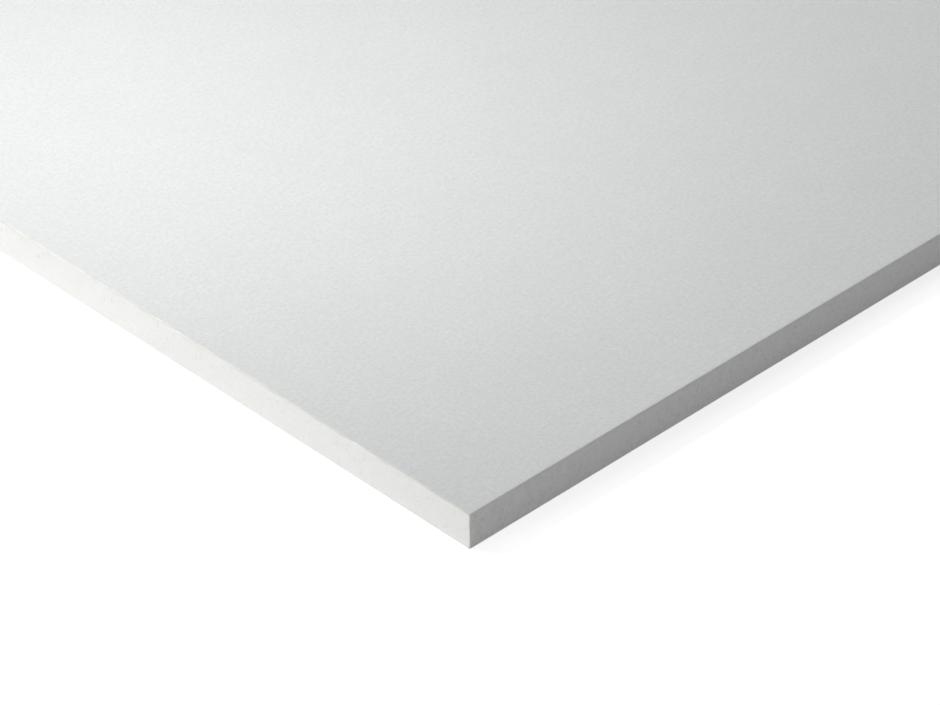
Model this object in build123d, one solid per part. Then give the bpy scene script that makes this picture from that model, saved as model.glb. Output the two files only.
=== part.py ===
"""Acoustic ceiling tile: one square-edged lay-in board of felted mineral fibre.

Millimetres. The tile lies on its back as stock does on a floor or a pallet. The origin is the centre of the
back, and +Z points out of the painted face.
"""

from build123d import *
import os

# Driving dimensions

GRID_MODULE_X = 600.0  # spacing of the ceiling grid that the tile drops into, along X
GRID_MODULE_Y = 600.0  # the same along Y
GRID_PLAY = 5.0  # what the tile is cut short of its module, so that it tilts in past the grid
THICKNESS = 15.0  # back to painted face
ARRIS_RADIUS = 0.5  # paint softens the arrises of the face and of the four corners; the back is left as sawn

# Sizes that follow

TILE_X = GRID_MODULE_X - GRID_PLAY
TILE_Y = GRID_MODULE_Y - GRID_PLAY


def sawn_board():
    """The board as it leaves the saw: square edges, sharp arrises, back on the floor."""
    outline = Rectangle(TILE_X, TILE_Y)
    return extrude(outline, amount=THICKNESS)


def ceiling_tile():
    """The finished tile: the face's arrises and the upright corners are eased, and the back's stay sharp."""
    board = sawn_board()
    face_arrises = board.faces().sort_by(Axis.Z)[-1].edges()
    upright_corners = board.edges().filter_by(Axis.Z)
    return fillet(face_arrises + upright_corners, radius=ARRIS_RADIUS)


def main():
    tile = ceiling_tile()
    size = tile.bounding_box().size
    os.makedirs("parts", exist_ok=True)
    export_step(tile, "parts/ceiling_tile.step")
    print(f"ceiling_tile {size.X:.1f} x {size.Y:.1f} x {size.Z:.1f} mm, {tile.volume / 1e6:.3f} litres")


main()
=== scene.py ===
# %% [markdown]
# # Acoustic ceiling tile
# The object is one square board of felted mineral fibre, which drops into the grid of a suspended
# ceiling. Its face and its four sawn edges are painted white, and its back is left as bare felt.
# The CAD model gives the board's size and place. It is loaded first, and each later step takes
# its measures from it, so nothing has to be fitted afterwards.

# %% Load the CAD frame
from math import pi, radians

import bmesh
import bpy
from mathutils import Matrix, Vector


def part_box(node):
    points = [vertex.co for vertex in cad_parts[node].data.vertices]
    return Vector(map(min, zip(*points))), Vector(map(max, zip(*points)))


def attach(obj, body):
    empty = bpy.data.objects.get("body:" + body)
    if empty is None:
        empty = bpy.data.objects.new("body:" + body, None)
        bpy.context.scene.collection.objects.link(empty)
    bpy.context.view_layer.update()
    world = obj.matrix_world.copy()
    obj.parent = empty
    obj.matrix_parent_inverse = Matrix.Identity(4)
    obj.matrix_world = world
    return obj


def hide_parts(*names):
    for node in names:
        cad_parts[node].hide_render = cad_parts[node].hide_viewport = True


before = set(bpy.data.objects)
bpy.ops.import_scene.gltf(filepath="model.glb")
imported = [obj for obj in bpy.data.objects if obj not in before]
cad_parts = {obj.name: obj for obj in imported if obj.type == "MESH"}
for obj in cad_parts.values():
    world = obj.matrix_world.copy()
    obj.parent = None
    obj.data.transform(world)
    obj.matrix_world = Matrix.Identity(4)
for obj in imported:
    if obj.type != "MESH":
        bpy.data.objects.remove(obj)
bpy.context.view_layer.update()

MM = 0.001  # lengths below are in metres, and a board maker thinks in millimetres
low, high = (Vector(corner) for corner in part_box("ceiling_tile"))
size = high - low

# %% [markdown]
# ## Camera
# A long lens looks down on one corner of the board from across the floor, so the two near edges
# run out of the picture and stay almost parallel to the far ones. A camera could be placed by eye
# until the corner fits. Here it is placed by sums instead: its angles and focal length are known,
# and so are the pixel that shows the near corner of the face and how far away that corner is,
# which together leave only one place for the camera to stand.

# %% Lens and angles
IMAGE_WIDTH = 940  # pixels
IMAGE_HEIGHT = 705
FOCAL_LENGTH = 3492  # in pixels of that picture
SENSOR_WIDTH = 36.0  # mm
VIEW_TURN = radians(-44.3)  # from looking along +Y
VIEW_ELEVATION = radians(35.0)

bpy.ops.object.select_all(action="DESELECT")
bpy.ops.object.camera_add(rotation=(radians(90) - VIEW_ELEVATION, 0, VIEW_TURN))
camera = bpy.context.object
camera.data.sensor_width = SENSOR_WIDTH
camera.data.lens = FOCAL_LENGTH / IMAGE_WIDTH * SENSOR_WIDTH
bpy.context.scene.camera = camera
bpy.context.scene.view_settings.view_transform = "Standard"
print("lens of", round(camera.data.lens, 1), "mm")

# %% Place of the camera
CORNER_PIXEL_X = 469.4  # where the near corner of the face shows
CORNER_PIXEL_Y = 515.1
CORNER_DEPTH = 1.205  # how far in front of the lens that corner lies

near_corner = Vector((low.x, low.y, high.z))
aside = (CORNER_PIXEL_X - IMAGE_WIDTH / 2) / FOCAL_LENGTH
below = (CORNER_PIXEL_Y - IMAGE_HEIGHT / 2) / FOCAL_LENGTH
sight = camera.rotation_euler.to_matrix() @ Vector((aside, -below, -1))
camera.location = near_corner - sight * CORNER_DEPTH
print("camera at", [round(c, 3) for c in camera.location])

# %% [markdown]
# ## Nodes and colours
# Every finish below is a tree of shader nodes. One small function adds a node, sets its properties
# and fills its inputs, either with plain values or with the output of another node. Colours are
# written as the hex values that a paint chart gives, which are sRGB, and a second function turns
# them into the linear light that Blender mixes.

# %% Node and colour helpers
MIX_A, MIX_B, MIX_RESULT = 6, 7, 2  # the colour sockets of a Mix node, whose names others share


def add(tree, kind, inputs=None, **settings):
    """Adds a node with its settings. Inputs, by name or number, get values or other nodes' outputs."""
    node = tree.nodes.new(kind)
    for name, value in settings.items():
        setattr(node, name, value)
    for name, value in (inputs or {}).items():
        if isinstance(value, bpy.types.NodeSocket):
            tree.links.new(value, node.inputs[name])
        else:
            node.inputs[name].default_value = value
    return node


def linear(hex_colour):
    """The linear RGBA of an sRGB hex colour."""
    shares = [int(hex_colour[i:i + 2], 16) / 255 for i in (1, 3, 5)]
    return [s / 12.92 if s <= 0.04045 else ((s + 0.055) / 1.055) ** 2.4 for s in shares] + [1.0]


print("white paint in linear light", [round(c, 3) for c in linear("#EEF0EE")])

# %% [markdown]
# ## Floor
# The board lies on a plain white studio floor that has no edge in sight. A floor that is only lit
# never comes out evenly white. So the eye, and any reflection, sees the lit floor with a flat white
# added to it, just enough to reach 1, which is white. Where the board shades the floor the sum
# stays below 1, and that is its shadow. The lamps fade away from the board, so further out more
# white is added. Lamps and bounced light meet only the lit surface, so the white adds no light to
# the board.

# %% Floor
FLOOR_SIZE = 14.0

bpy.ops.mesh.primitive_plane_add(size=FLOOR_SIZE, location=(0, 0, low.z))
floor = bpy.context.object
floor.name = "studio_floor"
print(floor.name, "is", FLOOR_SIZE, "m wide")

# %% White that only the eye sees
WHITE_NEAR = 0.65  # what the eye sees on top of the lit floor, and with it just reaches white
WHITE_FAR = 0.83  # the same where the lamps no longer reach
NEAR_REACH = 0.34  # from the middle of the board to where the lamps begin to fade
FAR_REACH = 0.95  # and to where they have faded


def seen_directly(tree):
    """An output that is 1 for what the eye sees, in mirrors and glass too, and 0 for bounced light."""
    path = add(tree, "ShaderNodeLightPath")
    eye = add(tree, "ShaderNodeMath", {
        0: path.outputs["Is Camera Ray"],
        1: path.outputs["Is Glossy Ray"],
    })
    return add(tree, "ShaderNodeMath", {
        0: eye.outputs[0],
        1: path.outputs["Is Transmission Ray"],
    }, use_clamp=True).outputs[0]


floor_paint = bpy.data.materials.new("studio_floor_white")
floor_paint.use_nodes = True
floor_paint.cycles.emission_sampling = "NONE"
tree = floor_paint.node_tree
tree.nodes.clear()
place = add(tree, "ShaderNodeTexCoord").outputs["Object"]
away = add(tree, "ShaderNodeVectorMath", {0: place}, operation="LENGTH")
share = add(tree, "ShaderNodeMapRange", {
    "Value": away.outputs["Value"],
    "From Min": NEAR_REACH,
    "From Max": FAR_REACH,
    "To Min": WHITE_NEAR,
    "To Max": WHITE_FAR,
})
white = add(tree, "ShaderNodeMath", {0: seen_directly(tree), 1: share.outputs[0]}, operation="MULTIPLY")
print("white added:", WHITE_NEAR, "near the board,", WHITE_FAR, "far from it")

# %% Floor paint
FLOOR_PAINT = "#D2D2D0"

lit = add(tree, "ShaderNodeBsdfDiffuse", {"Color": linear(FLOOR_PAINT)})
plain = add(tree, "ShaderNodeEmission", {"Strength": white.outputs[0]})
both = add(tree, "ShaderNodeAddShader", {0: lit.outputs[0], 1: plain.outputs[0]})
add(tree, "ShaderNodeOutputMaterial", {"Surface": both.outputs[0]})
floor.data.materials.append(floor_paint)
print("floor paint of", len(tree.nodes), "nodes")

# %% [markdown]
# ## Sky
# The sky is what the floor runs into, with no line between them, so the eye sees it as plain white
# too. To the board it is a dim fill, a little blue as daylight is, and with what the floor throws
# back it is all that the shaded edge gets. One strength could not be both, so the sky asks, as the
# floor does, whether the eye looks at it or light comes from it.

# %% Sky
SKY_COLOUR = "#F4F6FA"
SKY_STRENGTH = 0.287

sky = bpy.data.worlds.new("studio_sky")
sky.use_nodes = True
bpy.context.scene.world = sky
tree = sky.node_tree
tree.nodes.clear()
fill = add(tree, "ShaderNodeBackground", {"Color": linear(SKY_COLOUR), "Strength": SKY_STRENGTH})
plain = add(tree, "ShaderNodeBackground", {"Strength": 1.0})
both = add(tree, "ShaderNodeMixShader", {0: seen_directly(tree), 1: fill.outputs[0], 2: plain.outputs[0]})
add(tree, "ShaderNodeOutputWorld", {"Surface": both.outputs[0]})
print("sky lights the board at", SKY_STRENGTH)

# %% [markdown]
# ## Lamps
# On a flat white board the light is most of what there is to see: a bright pool near the middle of
# the left edge that fades across the face, a left edge that is almost white, and a right edge in
# even shade. One large lamp could give the edges their tones but not the pool. The pool comes from
# a softbox behind the left edge with a narrow honeycomb grid, which Blender calls spread, and a
# broad one with a wider grid lifts the far half of the face. Three bare softboxes low over the
# floor light the left, back and far edges. No lamp faces the right edge, so its shade is even.

# %% Softboxes
def softbox(name, place, aim, width, height, watts, spread=180):
    """An area lamp that points at aim. Its grid lets light out within spread, an angle in degrees."""
    bpy.ops.object.light_add(type="AREA", location=place)
    lamp = bpy.context.object
    lamp.name = name
    lamp.rotation_euler = (Vector(aim) - Vector(place)).to_track_quat("-Z", "Y").to_euler()
    lamp.data.shape = "RECTANGLE"
    lamp.data.size = width
    lamp.data.size_y = height
    lamp.data.spread = radians(spread)
    lamp.data.energy = watts
    lamp.visible_camera = False
    return lamp


top = high.z
lamps = [
    softbox("key_softbox", place=(-0.71, 0.78, 1.08), aim=(-0.267, 0.0, top),
            width=0.4, height=0.4, watts=0.33, spread=20),
    softbox("far_softbox", place=(0.80, 0.80, 1.50), aim=(0.40, 0.40, top),
            width=1.4, height=1.4, watts=2.15, spread=40),
    softbox("left_card", place=(-1.30, -0.31, 0.30), aim=(low.x, -0.18, 0),
            width=0.8, height=0.4, watts=5.85),
    softbox("back_card", place=(0.20, 1.30, 0.35), aim=(0.15, high.y, 0),
            width=0.8, height=0.4, watts=2.5),
    softbox("far_card", place=(1.30, 0.15, 0.35), aim=(high.x, 0.05, 0),
            width=0.8, height=0.4, watts=3.2),
]
print("lamps in watts", [(lamp.name, round(lamp.data.energy, 2)) for lamp in lamps])

# %% [markdown]
# ## The board as it leaves the saw
# The felt comes off its machine as one wide mat and is sawn into squares. The CAD node's own mesh
# could be dressed, but its long thin triangles cannot be divided evenly, and relief needs even
# squares. So the sawn block is modelled afresh, as a cube at the board's size and place. Its
# position is then applied to the mesh, so that the object itself sits at the origin as the CAD node
# does, and patterns that read object coordinates are in true millimetres.

# %% Sawn block
bpy.ops.object.select_all(action="DESELECT")
bpy.ops.mesh.primitive_cube_add(size=1, location=(low + high) / 2, scale=size)
tile = bpy.context.object
tile.name = "tile_board"
tile.data.name = "tile_board"
bpy.ops.object.transform_apply(location=True, rotation=True, scale=True)
print("block of", len(tile.data.polygons), "faces")

# %% [markdown]
# ## Eased arrises
# Paint rounds every arris that it covers: the four of the face and the four upright corners. The
# back is never painted, and its arrises stay as sharp as the saw left them. A plain Bevel modifier
# would round all twelve alike. In edit mode edges are picked by where their ends lie, and the bevel
# operator rounds only those, to the radius of the CAD model. A narrow inset behind the arris then
# holds the face flat, so that smooth shading does not bleed from the rounding into the face.

# %% Arrises
ARRIS_RADIUS = 0.5 * MM
ARRIS_STEPS = 4
ROUND = 0.5  # the bevel's profile that is part of a circle
CLOSE = 0.001 * MM  # two heights that differ by less are the same


def pick(kind, wanted):
    """Selects the tile's edges or faces, in edit mode, that pass the test, and counts them."""
    bpy.ops.mesh.select_mode(type=kind)
    bpy.ops.mesh.select_all(action="DESELECT")
    cage = bmesh.from_edit_mesh(tile.data)
    chosen = [part for part in (cage.edges if kind == "EDGE" else cage.faces) if wanted(part)]
    for part in chosen:
        part.select_set(True)
    bmesh.update_edit_mesh(tile.data)
    return len(chosen)


def painted_arris(edge):
    """True for an edge with an end on the face, which leaves out the four of the back."""
    return max(end.co.z for end in edge.verts) > high.z - CLOSE


bpy.ops.object.mode_set(mode="EDIT")
arrises = pick("EDGE", painted_arris)
bpy.ops.mesh.bevel(offset=ARRIS_RADIUS, segments=ARRIS_STEPS, profile=ROUND, affect="EDGES")
print(arrises, "arrises rounded to", ARRIS_RADIUS / MM, "mm")

# %% Holding inset
HOLDING_WIDTH = 0.8 * MM

held = pick("FACE", lambda face: min(corner.co.z for corner in face.verts) > high.z - CLOSE)
bpy.ops.mesh.inset(thickness=HOLDING_WIDTH)
print(held, "face inset by", HOLDING_WIDTH / MM, "mm")

# %% [markdown]
# ## A net of faces that is fine only at the edges
# The sawn edges get real relief, and for that they need faces of about a millimetre. The face and
# the back are flat, and faces that fine over the whole of them would be ten times too many. So the
# board is first divided into 5 mm squares all over, and then only the lines along its rim are
# divided again. Subdivide cuts just the edges that are selected, and fills the step between coarse
# and fine with triangles, which lie hidden in the flat.

# %% Coarse squares
COARSE_CUTS = (6, 16)  # 7 x 17 = 119 squares of 5 mm along each edge
LONG = 20 * MM
STRAIGHT = 0.99  # how much of an edge's length lies along its axis, at least
X, Y, Z = range(3)


def runs_along(edge, axis, least):
    """True for an edge that runs along an axis and is longer than least."""
    run = edge.verts[1].co - edge.verts[0].co
    return run.length > least and abs(run[axis]) > STRAIGHT * run.length


for axis in (X, Y):
    for cuts in COARSE_CUTS:
        pick("EDGE", lambda edge: runs_along(edge, axis, LONG))
        bpy.ops.mesh.subdivide(number_cuts=cuts, ngon=False)
print("board of", len(bmesh.from_edit_mesh(tile.data).faces), "coarse faces")

# %% Rows up the sawn edges
EDGE_ROWS = 15  # 1 mm high, from back to face

uprights = pick("EDGE", lambda edge: runs_along(edge, Z, size.z / 2))
bpy.ops.mesh.subdivide(number_cuts=EDGE_ROWS - 1, ngon=False)
print(uprights, "upright lines cut into", EDGE_ROWS)

# %% Fine rim
FINE_CUTS = 4  # each 5 mm line into five, 1 mm long
SHORT = 2 * MM  # shorter lines belong to the arris

for axis, across in ((X, Y), (Y, X)):
    rim = high[across] - ARRIS_RADIUS - HOLDING_WIDTH - CLOSE
    pick("EDGE", lambda edge: runs_along(edge, axis, SHORT) and abs(edge.verts[0].co[across]) > rim)
    bpy.ops.mesh.subdivide(number_cuts=FINE_CUTS, ngon=False)
bpy.ops.object.mode_set(mode="OBJECT")
print("board of", sum(len(face.vertices) - 2 for face in tile.data.polygons), "triangles")

# %% [markdown]
# ## Relief of the sawn edges
# The saw tears out clumps of fibre and grains of filler, and the paint only half fills the pits
# that they leave. Sculpting them by hand would take hours. A Displace modifier moves every point of
# the edges inwards by a noise texture instead, never outwards, so the board stays inside its true
# size. A vertex group keeps the face flat and the arrises nearly straight.

# %% Where the relief goes
ARRIS_SHARE = 0.1  # how much of the relief reaches the arrises
SOFT_BORDER = 1.5 * MM  # over which the relief fades in below the face and above the back

group = tile.vertex_groups.new(name="sawn_edges")
reach = high.x - ARRIS_RADIUS - CLOSE
carved = 0
for point in tile.data.vertices:
    if max(abs(point.co.x), abs(point.co.y)) < reach:
        continue
    inside = min(point.co.z - low.z, high.z - point.co.z) / SOFT_BORDER
    group.add([point.index], ARRIS_SHARE + (1 - ARRIS_SHARE) * min(inside, 1), "REPLACE")
    carved += 1
print(carved, "of", len(tile.data.vertices), "points take the relief")

# %% Torn pits
PIT_WIDTH = 2.6 * MM
PIT_DEPTH = 0.30 * MM
PIT_FLOOR = 0.15  # noise below this is a pit of full depth
PIT_RIM = 0.5  # noise above this is left as sawn
SMOOTH_ANGLE = radians(40)  # steeper bends, such as the arrises of the back, stay sharp

pits = bpy.data.textures.new("torn_pits", "CLOUDS")
pits.noise_scale = PIT_WIDTH
pits.noise_depth = 1
pits.use_color_ramp = True
pits.color_ramp.interpolation = "EASE"
deep, level = pits.color_ramp.elements
deep.position = PIT_FLOOR
deep.color = (0, 0, 0, 1)
level.position = PIT_RIM
level.color = (1, 1, 1, 1)
carving = tile.modifiers.new("torn_pits", "DISPLACE")
carving.texture = pits
carving.texture_coords = "LOCAL"
carving.vertex_group = group.name
carving.mid_level = 1.0
carving.strength = PIT_DEPTH
bpy.ops.object.modifier_apply(modifier="torn_pits")
bpy.ops.object.shade_smooth_by_angle(angle=SMOOTH_ANGLE)
print("relief done, box", [round(length / MM, 2) for length in tile.dimensions])

# %% [markdown]
# ## Painted face
# The felt is sanded smooth on this side and rolled with vinyl latex paint. It is matt, and from a
# step away quite smooth. Close to, the topmost fibres lie under the paint as a faint crossing grain,
# and the roller has left its stipple. A picture of a real tile would bring its own light with it and
# would repeat. Noise that is stretched in three directions crosses as the fibres do and never
# repeats.

# %% Start of the face paint
def finish(name):
    """A new material with an empty tree, and the output that gives a point's place in metres."""
    material = bpy.data.materials.new(name)
    material.use_nodes = True
    material.node_tree.nodes.clear()
    return material, add(material.node_tree, "ShaderNodeTexCoord").outputs["Object"]


face_paint, place = finish("vinyl_latex_face")
tree = face_paint.node_tree
print("new finish", face_paint.name)

# %% Fibres under the paint
FIBRE_LENGTH = 9 * MM
FIBRE_WIDTH = 0.5 * MM  # a wool fibre is 0.005 mm, which no pixel could show, so it is drawn coarser
FIBRE_TURNS = (radians(12), radians(71), radians(133))


def crossed_fibres(tree, place, length, width, detail, distortion):
    """An output that is high on fibres of that length and width, which lie in three directions."""
    highest = 0.0
    for turn in FIBRE_TURNS:
        along = add(tree, "ShaderNodeMapping", {
            "Vector": place,
            "Rotation": (0, 0, turn),
            "Scale": (length, width, width),
        }, vector_type="TEXTURE")
        fibres = add(tree, "ShaderNodeTexNoise", {
            "Vector": along.outputs[0],
            "Scale": 1.0,
            "Detail": detail,
            "Distortion": distortion,
        })
        upper = {0: highest, 1: fibres.outputs["Fac"]}
        highest = add(tree, "ShaderNodeMath", upper, operation="MAXIMUM").outputs[0]
    return highest


grain = crossed_fibres(tree, place, FIBRE_LENGTH, FIBRE_WIDTH, detail=1.0, distortion=0.3)
print("fibres in", len(FIBRE_TURNS), "directions under the paint")

# %% Stipple and patches
STIPPLE_WIDTH = 1.5 * MM
PATCH_WIDTH = 30 * MM  # the felt drinks the paint a little more in one place than in another

stipple = add(tree, "ShaderNodeTexNoise", {
    "Vector": place,
    "Scale": 1 / STIPPLE_WIDTH,
    "Detail": 3.0,
    "Roughness": 0.6,
}).outputs["Fac"]
patches = add(tree, "ShaderNodeTexNoise", {
    "Vector": place,
    "Scale": 1 / PATCH_WIDTH,
    "Detail": 6.0,
    "Roughness": 0.7,
}).outputs["Fac"]
print("stipple of", round(STIPPLE_WIDTH / MM, 1), "mm, patches of", round(PATCH_WIDTH / MM), "mm")

# %% White of the face
# White pigment scatters nearly all light back. The patches change the white's own tone, and the
# valleys between the fibres and the hollows of the stipple, where light is caught, get painted shade
# that gives the white a hint of depth.
FULL_WHITE = "#F6F8F6"
THIRSTY_WHITE = "#ECEEEC"  # where the felt drank more of the paint
# the colour of the painted shade in the valleys and hollows
SHADED_WHITE = "#DFE1DF"
VALLEY, RIDGE = 0.45, 0.75  # the grain's noise between two fibres and on top of one
HOLLOW, RISE = 0.35, 0.60  # the stipple's noise where the roller left the least and the most paint
VALLEY_SHADE = 0.3
HOLLOW_SHADE = 0.42

white = add(tree, "ShaderNodeMix", {
    0: patches,
    MIX_A: linear(FULL_WHITE),
    MIX_B: linear(THIRSTY_WHITE),
}, data_type="RGBA")
# painted shade: the valleys between fibres and the stipple's hollows are darkened in the colour
valleys = add(tree, "ShaderNodeMapRange", {
    "Value": grain,
    "From Min": VALLEY,
    "From Max": RIDGE,
    "To Min": VALLEY_SHADE,
    "To Max": 0.0,
})
hollows = add(tree, "ShaderNodeMapRange", {
    "Value": stipple,
    "From Min": HOLLOW,
    "From Max": RISE,
    "To Min": HOLLOW_SHADE,
    "To Max": 0.0,
})
painted_valley_shade = add(tree, "ShaderNodeMath", {0: valleys.outputs[0], 1: hollows.outputs[0]}, use_clamp=True)
shown = add(tree, "ShaderNodeMix", {
    0: painted_valley_shade.outputs[0],
    MIX_A: white.outputs[MIX_RESULT],
    MIX_B: linear(SHADED_WHITE),
}, data_type="RGBA")
print("white of the face from", FULL_WHITE, "down to", SHADED_WHITE)

# %% Sheen and relief of the face
# Matt paint has no mirror image in it, only a wide soft sheen that the raised fibres break up.
ROUGH_VALLEY = 0.92
ROUGH_RIDGE = 0.80
STIPPLE_HEIGHT = 0.08 * MM
FIBRE_HEIGHT = 0.08 * MM  # for the full swing of the noise, of which it uses about a third

sheen = add(tree, "ShaderNodeMapRange", {
    "Value": grain,
    "From Min": VALLEY,
    "From Max": RIDGE,
    "To Min": ROUGH_VALLEY,
    "To Max": ROUGH_RIDGE,
})
rolled = add(tree, "ShaderNodeBump", {"Height": stipple, "Distance": STIPPLE_HEIGHT})
raised = add(tree, "ShaderNodeBump", {
    "Height": grain,
    "Distance": FIBRE_HEIGHT,
    "Normal": rolled.outputs["Normal"],
})
shader = add(tree, "ShaderNodeBsdfPrincipled", {
    "Base Color": shown.outputs[MIX_RESULT],
    "Roughness": sheen.outputs[0],
    "Specular IOR Level": 0.3,
    "Normal": raised.outputs["Normal"],
})
add(tree, "ShaderNodeOutputMaterial", {"Surface": shader.outputs[0]})
print("face paint of", len(tree.nodes), "nodes")

# %% [markdown]
# ## Painted sawn edges
# The edges get one sprayed coat of the same paint, thin enough for the felt to show through and make
# it a touch warmer. The felt was laid down wet in thin layers, so the saw uncovers fine
# broken lines along the edge and tears grains out between them. Along the arris of the face, hands
# and neighbouring tiles rub the coat thin, and the colour there is also darkened as painted shade,
# which dims the bright line that the arris catches. The torn grains show the felt's colour, partly
# as painted shade in their pits. The large pits are already in the mesh, and carving the fine ones
# too would take a hundred times the faces. Noise that is squeezed in height gives the layers, a
# finer round noise gives the grains, and the height above the floor tells the shader where the
# arris is.

# %% Layers and grains of the edges
LAYER_LENGTH = 9 * MM
LAYER_HEIGHT = 0.8 * MM
GRAIN_WIDTH = 1.1 * MM
WHOLE, TORN = 0.42, 0.30  # the grains' noise where the cut is clean and where a grain is torn out

edge_paint, place = finish("vinyl_latex_sawn_edge")
tree = edge_paint.node_tree
squeezed = add(tree, "ShaderNodeMapping", {
    "Vector": place,
    "Scale": (LAYER_LENGTH, LAYER_LENGTH, LAYER_HEIGHT),
}, vector_type="TEXTURE")
layers = add(tree, "ShaderNodeTexNoise", {
    "Vector": squeezed.outputs[0],
    "Scale": 1.0,
    "Detail": 5.0,
    "Roughness": 0.65,
}).outputs["Fac"]
grains = add(tree, "ShaderNodeTexNoise", {"Vector": place, "Scale": 1 / GRAIN_WIDTH, "Detail": 2.0})
torn = add(tree, "ShaderNodeMapRange", {
    "Value": grains.outputs["Fac"],
    "From Min": WHOLE,
    "From Max": TORN,
}).outputs[0]
print("layers of", round(LAYER_HEIGHT / MM, 1), "mm, grains of", round(GRAIN_WIDTH / MM, 1), "mm")

# %% Rubbed and shaded arris
RUB_WIDTH = 5 * MM  # the arris is rubbed, and darkened with painted shade, in places of about this length
RUB_REACH = 0.8 * MM  # and this far down the edge
SELDOM, OFTEN = 0.3, 0.7  # the noise where the arris is rubbed and shaded little and much
# how much of the felt's colour shows on the arris, as wear and as painted shade
RUB_SHADE_LEAST, RUB_SHADE_MOST = 0.25, 0.6

height = add(tree, "ShaderNodeSeparateXYZ", {0: place}).outputs["Z"]
arris = add(tree, "ShaderNodeMapRange", {
    "Value": height,
    "From Min": high.z - RUB_REACH,
    "From Max": high.z - ARRIS_RADIUS / 2,
})
handling_and_shade_noise = add(tree, "ShaderNodeTexNoise", {"Vector": place, "Scale": 1 / RUB_WIDTH, "Detail": 3.0})
much = add(tree, "ShaderNodeMapRange", {
    "Value": handling_and_shade_noise.outputs["Fac"],
    "From Min": SELDOM,
    "From Max": OFTEN,
    "To Min": RUB_SHADE_LEAST,
    "To Max": RUB_SHADE_MOST,
})
# painted shade: the darkened arris also dims the bright line that it catches
rubbed_and_shaded = add(tree, "ShaderNodeMath", {0: arris.outputs[0], 1: much.outputs[0]}, operation="MULTIPLY")
print("arris rubbed", round(RUB_REACH / MM, 1), "mm down the edge")

# %% Coat of the edges
# The coat is thin over the layers, and thinnest on the rubbed arris and in the torn grains, where the
# felt's own colour comes through. That felt colour is also painted shade: in the torn pits, and on
# the arris, where it dims the bright line that the arris catches. Like the face it is matt and
# shows no mirror image.
COAT_WHITE = "#F1F1EF"
THIN_WHITE = "#EAEAE7"
# the felt's own colour, which also serves as painted shade in the pits and on the arris
FELT_AND_SHADE_COLOUR = "#D6D0C2"
TORN_SHARE = 0.35  # of the felt's colour that shows in a torn grain, partly as painted shade in its pit
LAYER_DEPTH = 0.20 * MM
GRAIN_DEPTH = 0.10 * MM

coat = add(tree, "ShaderNodeMix", {
    0: layers,
    MIX_A: linear(COAT_WHITE),
    MIX_B: linear(THIN_WHITE),
}, data_type="RGBA")
torn_felt_and_shade = add(tree, "ShaderNodeMath", {0: torn, 1: TORN_SHARE}, operation="MULTIPLY")
thin_coat_and_shade = add(tree, "ShaderNodeMath", {0: torn_felt_and_shade.outputs[0], 1: rubbed_and_shaded.outputs[0]}, operation="MAXIMUM")
shown = add(tree, "ShaderNodeMix", {
    0: thin_coat_and_shade.outputs[0],
    MIX_A: coat.outputs[MIX_RESULT],
    MIX_B: linear(FELT_AND_SHADE_COLOUR),
}, data_type="RGBA")
lined = add(tree, "ShaderNodeBump", {"Height": layers, "Distance": LAYER_DEPTH})
pitted = add(tree, "ShaderNodeBump", {
    "Height": torn,
    "Distance": GRAIN_DEPTH,
    "Normal": lined.outputs["Normal"],
}, invert=True)
shader = add(tree, "ShaderNodeBsdfPrincipled", {
    "Base Color": shown.outputs[MIX_RESULT],
    "Roughness": 0.8,
    "Normal": pitted.outputs["Normal"],
})
add(tree, "ShaderNodeOutputMaterial", {"Surface": shader.outputs[0]})
print("edge paint of", len(tree.nodes), "nodes")

# %% [markdown]
# ## Bare back
# The back is the felt itself: slag wool, clay and starch, off-white with dark specks of slag. It
# dried on a wire mesh, which left a faint square weave in it. Nobody sees the back in a ceiling, but
# it shows when a tile is lifted. Modelled hairs would be millions of faces for that. The crossing
# noise of the face, drawn coarser, gives the tufts of wool, a second noise gives the specks, and two
# wave patterns at right angles give the weave.

# %% Wool and slag
TUFT_LENGTH = 5 * MM
TUFT_WIDTH = 0.8 * MM
SPECK_WIDTH = 2.2 * MM
SPECK_RIM, SPECK_CORE = 0.70, 0.76  # noise as high as this is rare, so the specks are few

back_felt, place = finish("bare_mineral_felt")
tree = back_felt.node_tree
tufts = crossed_fibres(tree, place, TUFT_LENGTH, TUFT_WIDTH, detail=3.0, distortion=1.0)
slag = add(tree, "ShaderNodeTexNoise", {"Vector": place, "Scale": 1 / SPECK_WIDTH, "Detail": 1.0})
specks = add(tree, "ShaderNodeMapRange", {
    "Value": slag.outputs["Fac"],
    "From Min": SPECK_RIM,
    "From Max": SPECK_CORE,
})
print("tufts of", round(TUFT_LENGTH / MM), "mm, specks up to", round(SPECK_WIDTH / MM, 1), "mm")

# %% Marks of the wire mesh
WIRE_SPACING = 3.0 * MM
WAVE_SPACING = pi / 10  # between the lines that a Wave node draws at a scale of 1

warp, weft = (add(tree, "ShaderNodeTexWave", {
    "Vector": place,
    "Scale": WAVE_SPACING / WIRE_SPACING,
    "Distortion": 1.0,
}, bands_direction=direction).outputs["Fac"] for direction in ("X", "Y"))
weave = add(tree, "ShaderNodeMath", {0: warp, 1: weft}, operation="MULTIPLY")
print("a wire every", round(WIRE_SPACING / MM, 1), "mm")

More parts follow.
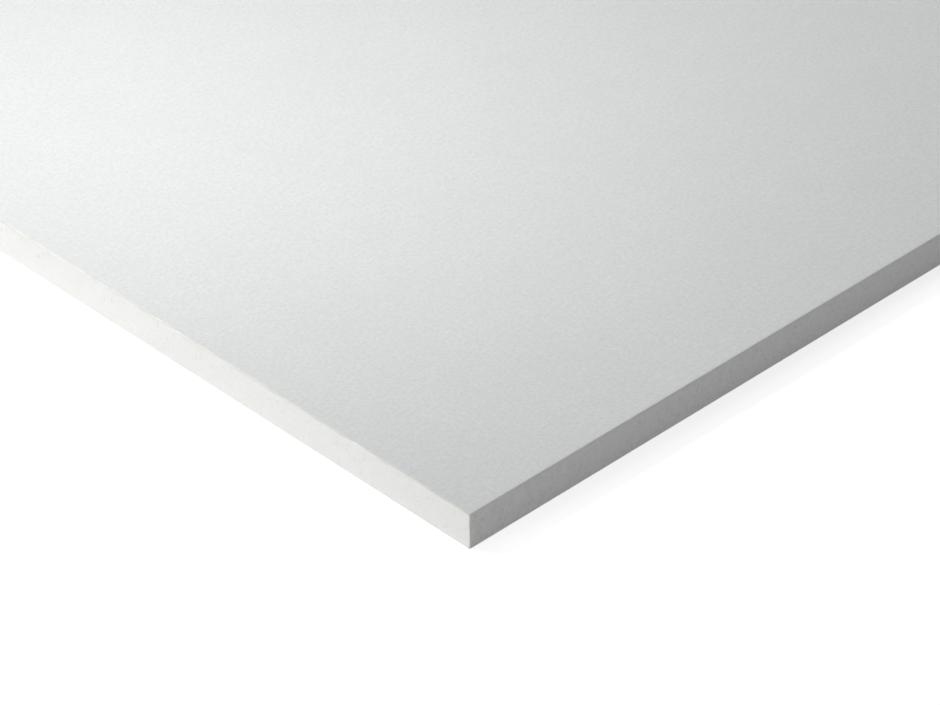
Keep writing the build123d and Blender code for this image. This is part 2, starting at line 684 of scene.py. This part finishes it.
# %% Bare felt
# Raised tufts are pale wool, the hollows between them are clay, and the specks are slag, dark and few.
# None of it has any gloss.
CLAY = "#C4BCA9"
WOOL = "#DFDACE"
SLAG = "#857C6C"
WIRE_DEPTH = 0.15 * MM
TUFT_DEPTH = 0.40 * MM

pale = add(tree, "ShaderNodeMapRange", {"Value": tufts, "From Min": VALLEY, "From Max": RIDGE})
felt = add(tree, "ShaderNodeMix", {
    0: pale.outputs[0],
    MIX_A: linear(CLAY),
    MIX_B: linear(WOOL),
}, data_type="RGBA")
speckled = add(tree, "ShaderNodeMix", {
    0: specks.outputs[0],
    MIX_A: felt.outputs[MIX_RESULT],
    MIX_B: linear(SLAG),
}, data_type="RGBA")
woven = add(tree, "ShaderNodeBump", {"Height": weave.outputs[0], "Distance": WIRE_DEPTH})
felted = add(tree, "ShaderNodeBump", {
    "Height": tufts,
    "Distance": TUFT_DEPTH,
    "Normal": woven.outputs["Normal"],
})
shader = add(tree, "ShaderNodeBsdfPrincipled", {
    "Base Color": speckled.outputs[MIX_RESULT],
    "Roughness": 0.95,
    "Normal": felted.outputs["Normal"],
})
add(tree, "ShaderNodeOutputMaterial", {"Surface": shader.outputs[0]})
print("felt of", len(tree.nodes), "nodes")

# %% [markdown]
# ## Which finish goes where
# The maker paints the face first and the edges last, and leaves the back. Faces could be given their
# finish by hand in edit mode, but there are tens of thousands of them. So each takes one of the three
# by the way it looks: up, sideways or down. The rounding of the face's arris goes with the edges,
# because the coat that is rubbed thin there, and darkened with painted shade, is theirs.

# %% Finishes on the board
FACE, EDGE, BACK = range(3)
LOOKS_UP = 0.9  # the least height of an upward normal of length 1
LOOKS_DOWN = -0.7

for material in (face_paint, edge_paint, back_felt):
    tile.data.materials.append(material)
counts = [0, 0, 0]
for face in tile.data.polygons:
    if face.normal.z > LOOKS_UP:
        face.material_index = FACE
    elif face.normal.z < LOOKS_DOWN:
        face.material_index = BACK
    else:
        face.material_index = EDGE
    counts[face.material_index] += 1
print("faces with each finish", counts)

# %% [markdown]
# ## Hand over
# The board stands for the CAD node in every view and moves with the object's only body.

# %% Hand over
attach(tile, "root")
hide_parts("ceiling_tile")
